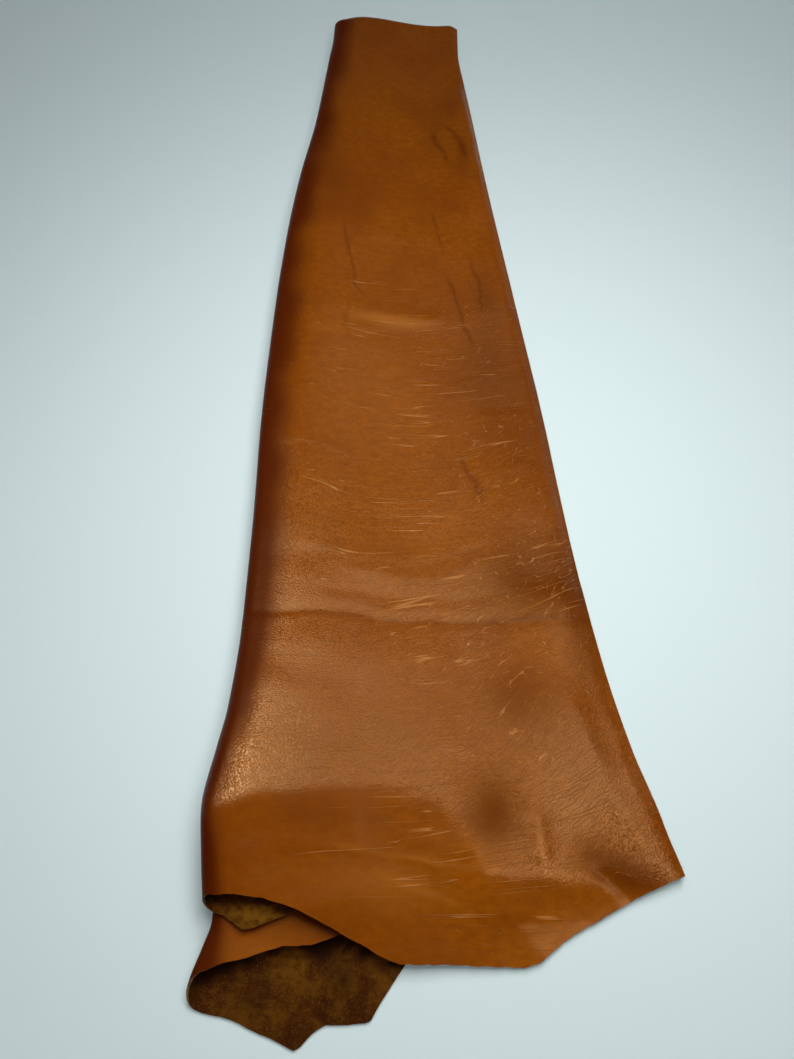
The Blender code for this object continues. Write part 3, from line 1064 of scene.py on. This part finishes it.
def grain_material():
    """Smooth tan leather with pebbles, fine creases and slanting cracks, with painted shade and
    highlights.
    """
    look = Nodes("tan_grain")
    place = look.add("ShaderNodeTexCoord", "Object")
    flow = look.mark("flow", "Vector")
    wrinkled = look.mark("wrinkled")
    cracked = look.mark("cracked")
    pebbled = look.mark("pebbled")
    # Painted shade along the upper long fold and under the near cut edges.
    painted_shade = look.mark("painted_shade")
    shiny = look.mark("shiny")
    tone = look.mark("tone")

    blotches = look.noise(place, 16.0, detail=4.0, roughness=0.6)
    clouds = look.noise(place, 5.0, distortion=0.4)
    cells = look.add("ShaderNodeTexVoronoi", "Distance", {"feature": "SMOOTH_F1"},
                     Vector=look.stretched(flow, PEBBLE_STRETCH), Scale=1.0, Smoothness=0.12)
    pebbles = look.maths("MULTIPLY", look.spread(cells, 0.05, 0.75, 1.0, 0.0), pebbled)
    valleys = look.maths("MULTIPLY", look.spread(cells, 0.35, 0.8), pebbled)
    mottle = look.noise(look.stretched(place, MOTTLE_STRETCH), 1.0, detail=6.0, roughness=0.7)

    lines = look.noise(look.stretched(flow, CREASE_STRETCH), 1.0, detail=0.4, distortion=0.2)
    patches = look.noise(look.stretched(flow, CREASE_PATCH_STRETCH), 1.0, detail=2.0)
    share = look.maths("MULTIPLY", look.spread(patches, 0.42, 0.60), wrinkled)
    creases = look.thin_lines(lines, share, 0.033)

    slanted = look.turned(place, CRACK_TURN)
    network = look.noise(look.stretched(slanted, CRACK_STRETCH), 1.0, detail=0.4, distortion=0.35)
    patches = look.noise(look.stretched(slanted, CRACK_PATCH_STRETCH), 1.0, detail=2.0)
    share = look.maths("MULTIPLY", look.spread(patches, 0.28, 0.44), cracked)
    cracks = look.thin_lines(network, share, 0.028)
    drawn = look.maths("MAXIMUM", creases, cracks)

    tan = look.mix(look.spread(clouds, 0.3, 0.7), TAN_DARK, TAN_LIGHT)
    tan = look.mix(look.spread(blotches, 0.4, 0.7, 0.0, 0.5), tan, TAN_BLOTCH)
    tan = look.mix(look.spread(mottle, 0.38, 0.62, 0.0, 0.4), tan, TAN_MOTTLE)
    tan = look.mix(look.maths("MULTIPLY", valleys, 0.5), tan, TAN_VALLEY)
    # The pale and deep tones carry painted highlights and painted shade as well as the leather's own
    # tones.
    tan = look.mix(look.spread(tone, 0.0, PLAIN_TONE, 0.7, 0.0), tan, TAN_PALE)
    tan = look.mix(look.spread(tone, PLAIN_TONE, 1.0, 0.0, 0.9), tan, TAN_DEEP)
    # The fine creases and cracks are painted paler along their lines, as painted highlights on their
    # ridges.
    tan = look.mix(look.maths("MULTIPLY", drawn, 0.5), tan, TAN_LINE_HIGHLIGHT)
    # Painted shade along the upper long fold and under the near cut edges.
    tan = look.mix(look.maths("MULTIPLY", painted_shade, 0.92), tan, TAN_PAINTED_SHADE)
    look.feed(look.shader.inputs["Base Color"], tan)

    rough = look.spread(blotches, 0.3, 0.7, 0.17, 0.24)
    rough = look.maths("ADD", rough, look.maths("MULTIPLY", painted_shade, 0.15))
    look.feed(look.shader.inputs["Roughness"], rough)
    look.feed(look.shader.inputs["Specular IOR Level"], look.maths("MULTIPLY", shiny, 0.5))
    look.shader.inputs["Specular Tint"].default_value = GLOSS_TINT

    waves = look.noise(look.stretched(flow, WAVE_STRETCH), 1.0, roughness=0.55, distortion=0.3)
    normal = look.bump(waves, 0.0011, strength=0.13)
    normal = look.bump(drawn, 0.00025, strength=0.8, normal=normal)
    normal = look.bump(pebbles, 0.00016, strength=0.66, normal=normal)
    look.feed(look.shader.inputs["Normal"], normal)
    return look.material


def flesh_material():
    """Matt brown suede with a short nap."""
    look = Nodes("brown_suede")
    place = look.add("ShaderNodeTexCoord", "Object")
    tone = look.mark("tone")
    patches = look.noise(place, 55.0, detail=4.0, roughness=0.6, distortion=0.6)
    mottle = look.noise(place, 260.0, detail=4.0, roughness=0.65)
    nap = look.noise(place, 1100.0, roughness=0.7)
    brown = look.mix(look.spread(patches, 0.38, 0.64), SUEDE_DARK, SUEDE_BROWN)
    # The pale tone carries painted light on layer 2's flap, and the deep one painted shade under cut
    # edges.
    brown = look.mix(look.spread(tone, 0.0, PLAIN_TONE, 0.8, 0.0), brown, SUEDE_PALE)
    brown = look.mix(look.spread(mottle, 0.42, 0.66, 0.0, 0.6), brown, SUEDE_MOTTLE)
    brown = look.mix(look.spread(nap, 0.5, 0.72, 0.0, 0.4), brown, SUEDE_NAP)
    brown = look.mix(look.spread(tone, PLAIN_TONE, 1.0, 0.0, 0.95), brown, SUEDE_DEEP)
    look.feed(look.shader.inputs["Base Color"], brown)
    look.feed(look.shader.inputs["Roughness"], look.spread(mottle, 0.3, 0.7, 0.86, 1.0))
    look.shader.inputs["Specular IOR Level"].default_value = 0.05
    look.shader.inputs["Sheen Weight"].default_value = 0.06
    look.shader.inputs["Sheen Roughness"].default_value = 0.6
    look.shader.inputs["Sheen Tint"].default_value = SUEDE_SHEEN
    normal = look.bump(mottle, 0.0006, strength=0.6)
    normal = look.bump(nap, 0.0003, strength=0.9, normal=normal)
    look.feed(look.shader.inputs["Normal"], normal)
    return look.material


def edge_material():
    """The raw fibres of a cut edge."""
    look = Nodes("raw_cut_edge")
    place = look.add("ShaderNodeTexCoord", "Object")
    fibres = look.noise(place, 900.0, roughness=0.6)
    stains = look.noise(place, 60.0, detail=2.0)
    tone = look.mix(look.spread(fibres, 0.3, 0.7), EDGE_DARK, EDGE_PALE)
    tone = look.mix(look.spread(stains, 0.42, 0.62, 0.0, 0.8), tone, EDGE_STAIN)
    look.feed(look.shader.inputs["Base Color"], tone)
    look.feed(look.shader.inputs["Roughness"], look.spread(fibres, 0.3, 0.7, 0.8, 0.95))
    look.feed(look.shader.inputs["Normal"], look.bump(fibres, 0.0002, strength=0.8))
    return look.material


# How far the floor reaches each way and how far it lies under the hide, in metres.
FLOOR_REACH = 6.0
FLOOR_DROP = 0.0002


def table_top():
    """A plain pale floor."""
    look = Nodes("pale_table")
    look.shader.inputs["Base Color"].default_value = FLOOR_PALE
    look.shader.inputs["Roughness"].default_value = 0.75
    look.shader.inputs["Specular IOR Level"].default_value = 0.2
    mesh = bpy.data.meshes.new("table_top")
    signs = ((-1, -1), (1, -1), (1, 1), (-1, 1))
    corners = [(side * FLOOR_REACH, end * FLOOR_REACH, 0) for side, end in signs]
    mesh.from_pydata(corners, [], [(0, 1, 2, 3)])
    mesh.materials.append(look.material)
    floor = bpy.data.objects.new("table_top", mesh)
    floor.location.z = -FLOOR_DROP
    bpy.context.scene.collection.objects.link(floor)
    return floor


# Colours of the lamps.
WARM_WHITE = (1.0, 0.99, 0.97)
EVEN_WHITE = (0.98, 0.99, 1.0)
COOL_WHITE = (0.97, 0.99, 1.0)

# Lamps: name, place and aim in metres, size in metres, power in watts, colour, and the kind of
# reflection that each gives.
LAMPS = (
    ("pool", (0.05, -0.13, 0.56), (0.05, -0.13, 0.0), (0.46, 0.42), 3.0, WARM_WHITE, "matt"),
    ("gloss", (-0.11, -0.12, 0.62), (-0.11, -0.12, 0.0), (0.34, 0.30), 1.7, WARM_WHITE, "glossy"),
    ("left", (-0.40, -0.07, 0.62), (-0.40, -0.07, 0.0), (0.26, 0.24), 2.7, WARM_WHITE, "glossy"),
    ("middle", (0.14, -0.05, 0.62), (0.14, -0.05, 0.0), (0.16, 0.60), 0.85, WARM_WHITE, "glossy"),
    ("beyond", (0.19, 0.45, 0.62), (0.19, 0.45, 0.0), (0.17, 0.40), 0.32, WARM_WHITE, "glossy"),
    ("right", (0.42, -0.10, 0.62), (0.42, -0.10, 0.0), (0.36, 0.30), 1.6, WARM_WHITE, "glossy"),
    ("corner", (0.37, -0.41, 0.62), (0.37, -0.41, 0.0), (0.18, 0.30), 1.6, WARM_WHITE, "glossy"),
    ("side", (1.0, 0.6, 0.5), (0.0, 0.0, 0.0), (0.8, 0.5), 0.6, EVEN_WHITE, "glossy"),
    ("far", (0.2, 1.2, 1.4), (0.0, 0.1, 0.0), (0.5, 0.4), 8.8, COOL_WHITE, "matt"),
    ("near", (-0.2, -1.2, 1.2), (0.0, -0.2, 0.0), (0.8, 0.6), 4.8, COOL_WHITE, "matt"),
)

# The even light from all around.
ROOM_COLOUR = (0.90, 0.96, 1.0, 1.0)
ROOM_STRENGTH = 0.04


def area_light(name, place, aim, size, power, colour):
    """A lamp with a flat oblong face, turned to its aim and hidden from the camera."""
    data = bpy.data.lights.new(name, "AREA")
    data.shape = "RECTANGLE"
    data.size, data.size_y = size
    data.energy = power
    data.color = colour
    light = bpy.data.objects.new(name, data)
    light.location = place
    way = np.array(aim, dtype=float) - np.array(place, dtype=float)
    level = math.hypot(way[0], way[1])
    light.visible_camera = False
    light.rotation_euler = (math.atan2(level, -way[2]), 0.0, math.atan2(way[1], way[0]) - math.pi / 2)
    bpy.context.scene.collection.objects.link(light)
    return light


def set_lights():
    """All lamps, each for matt or for glossy reflections alone, and a weak even light."""
    for name, place, aim, size, power, colour, reflection in LAMPS:
        light = area_light(name, place, aim, size, power, colour)
        light.visible_diffuse = reflection == "matt"
        light.visible_glossy = reflection == "glossy"
    world = bpy.data.worlds.new("soft_room")
    world.use_nodes = True
    background = world.node_tree.nodes["Background"]
    background.inputs["Color"].default_value = ROOM_COLOUR
    background.inputs["Strength"].default_value = ROOM_STRENGTH
    bpy.context.scene.world = world
    bpy.context.scene.view_settings.view_transform = "Standard"


# The camera: place in metres, tilt from straight down in degrees, focal length and long side of
# the picture in pixels, width of the sensor in millimetres, and the nearest distance that it sees
# in metres.
CAMERA_ACROSS = -0.0253
CAMERA_ALONG = -0.4410
CAMERA_HEIGHT = 0.5
CAMERA_TILT = 30.0
FOCAL_PIXELS = 826.0
PHOTO_LONG_SIDE = 1059.0
SENSOR = 36.0
NEAREST = 0.01


def set_camera():
    """The camera, as the photo was taken."""
    data = bpy.data.cameras.new("photo_view")
    data.sensor_width = SENSOR
    data.lens = FOCAL_PIXELS * SENSOR / PHOTO_LONG_SIDE
    data.clip_start = NEAREST
    camera = bpy.data.objects.new("photo_view", data)
    camera.location = (CAMERA_ACROSS, CAMERA_ALONG, CAMERA_HEIGHT)
    camera.rotation_euler = (math.radians(CAMERA_TILT), 0.0, 0.0)
    bpy.context.scene.collection.objects.link(camera)
    bpy.context.scene.camera = camera


hide = build_hide((grain_material(), flesh_material(), edge_material()))
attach(hide, "root")
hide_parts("hide")
table_top()
set_lights()
set_camera()
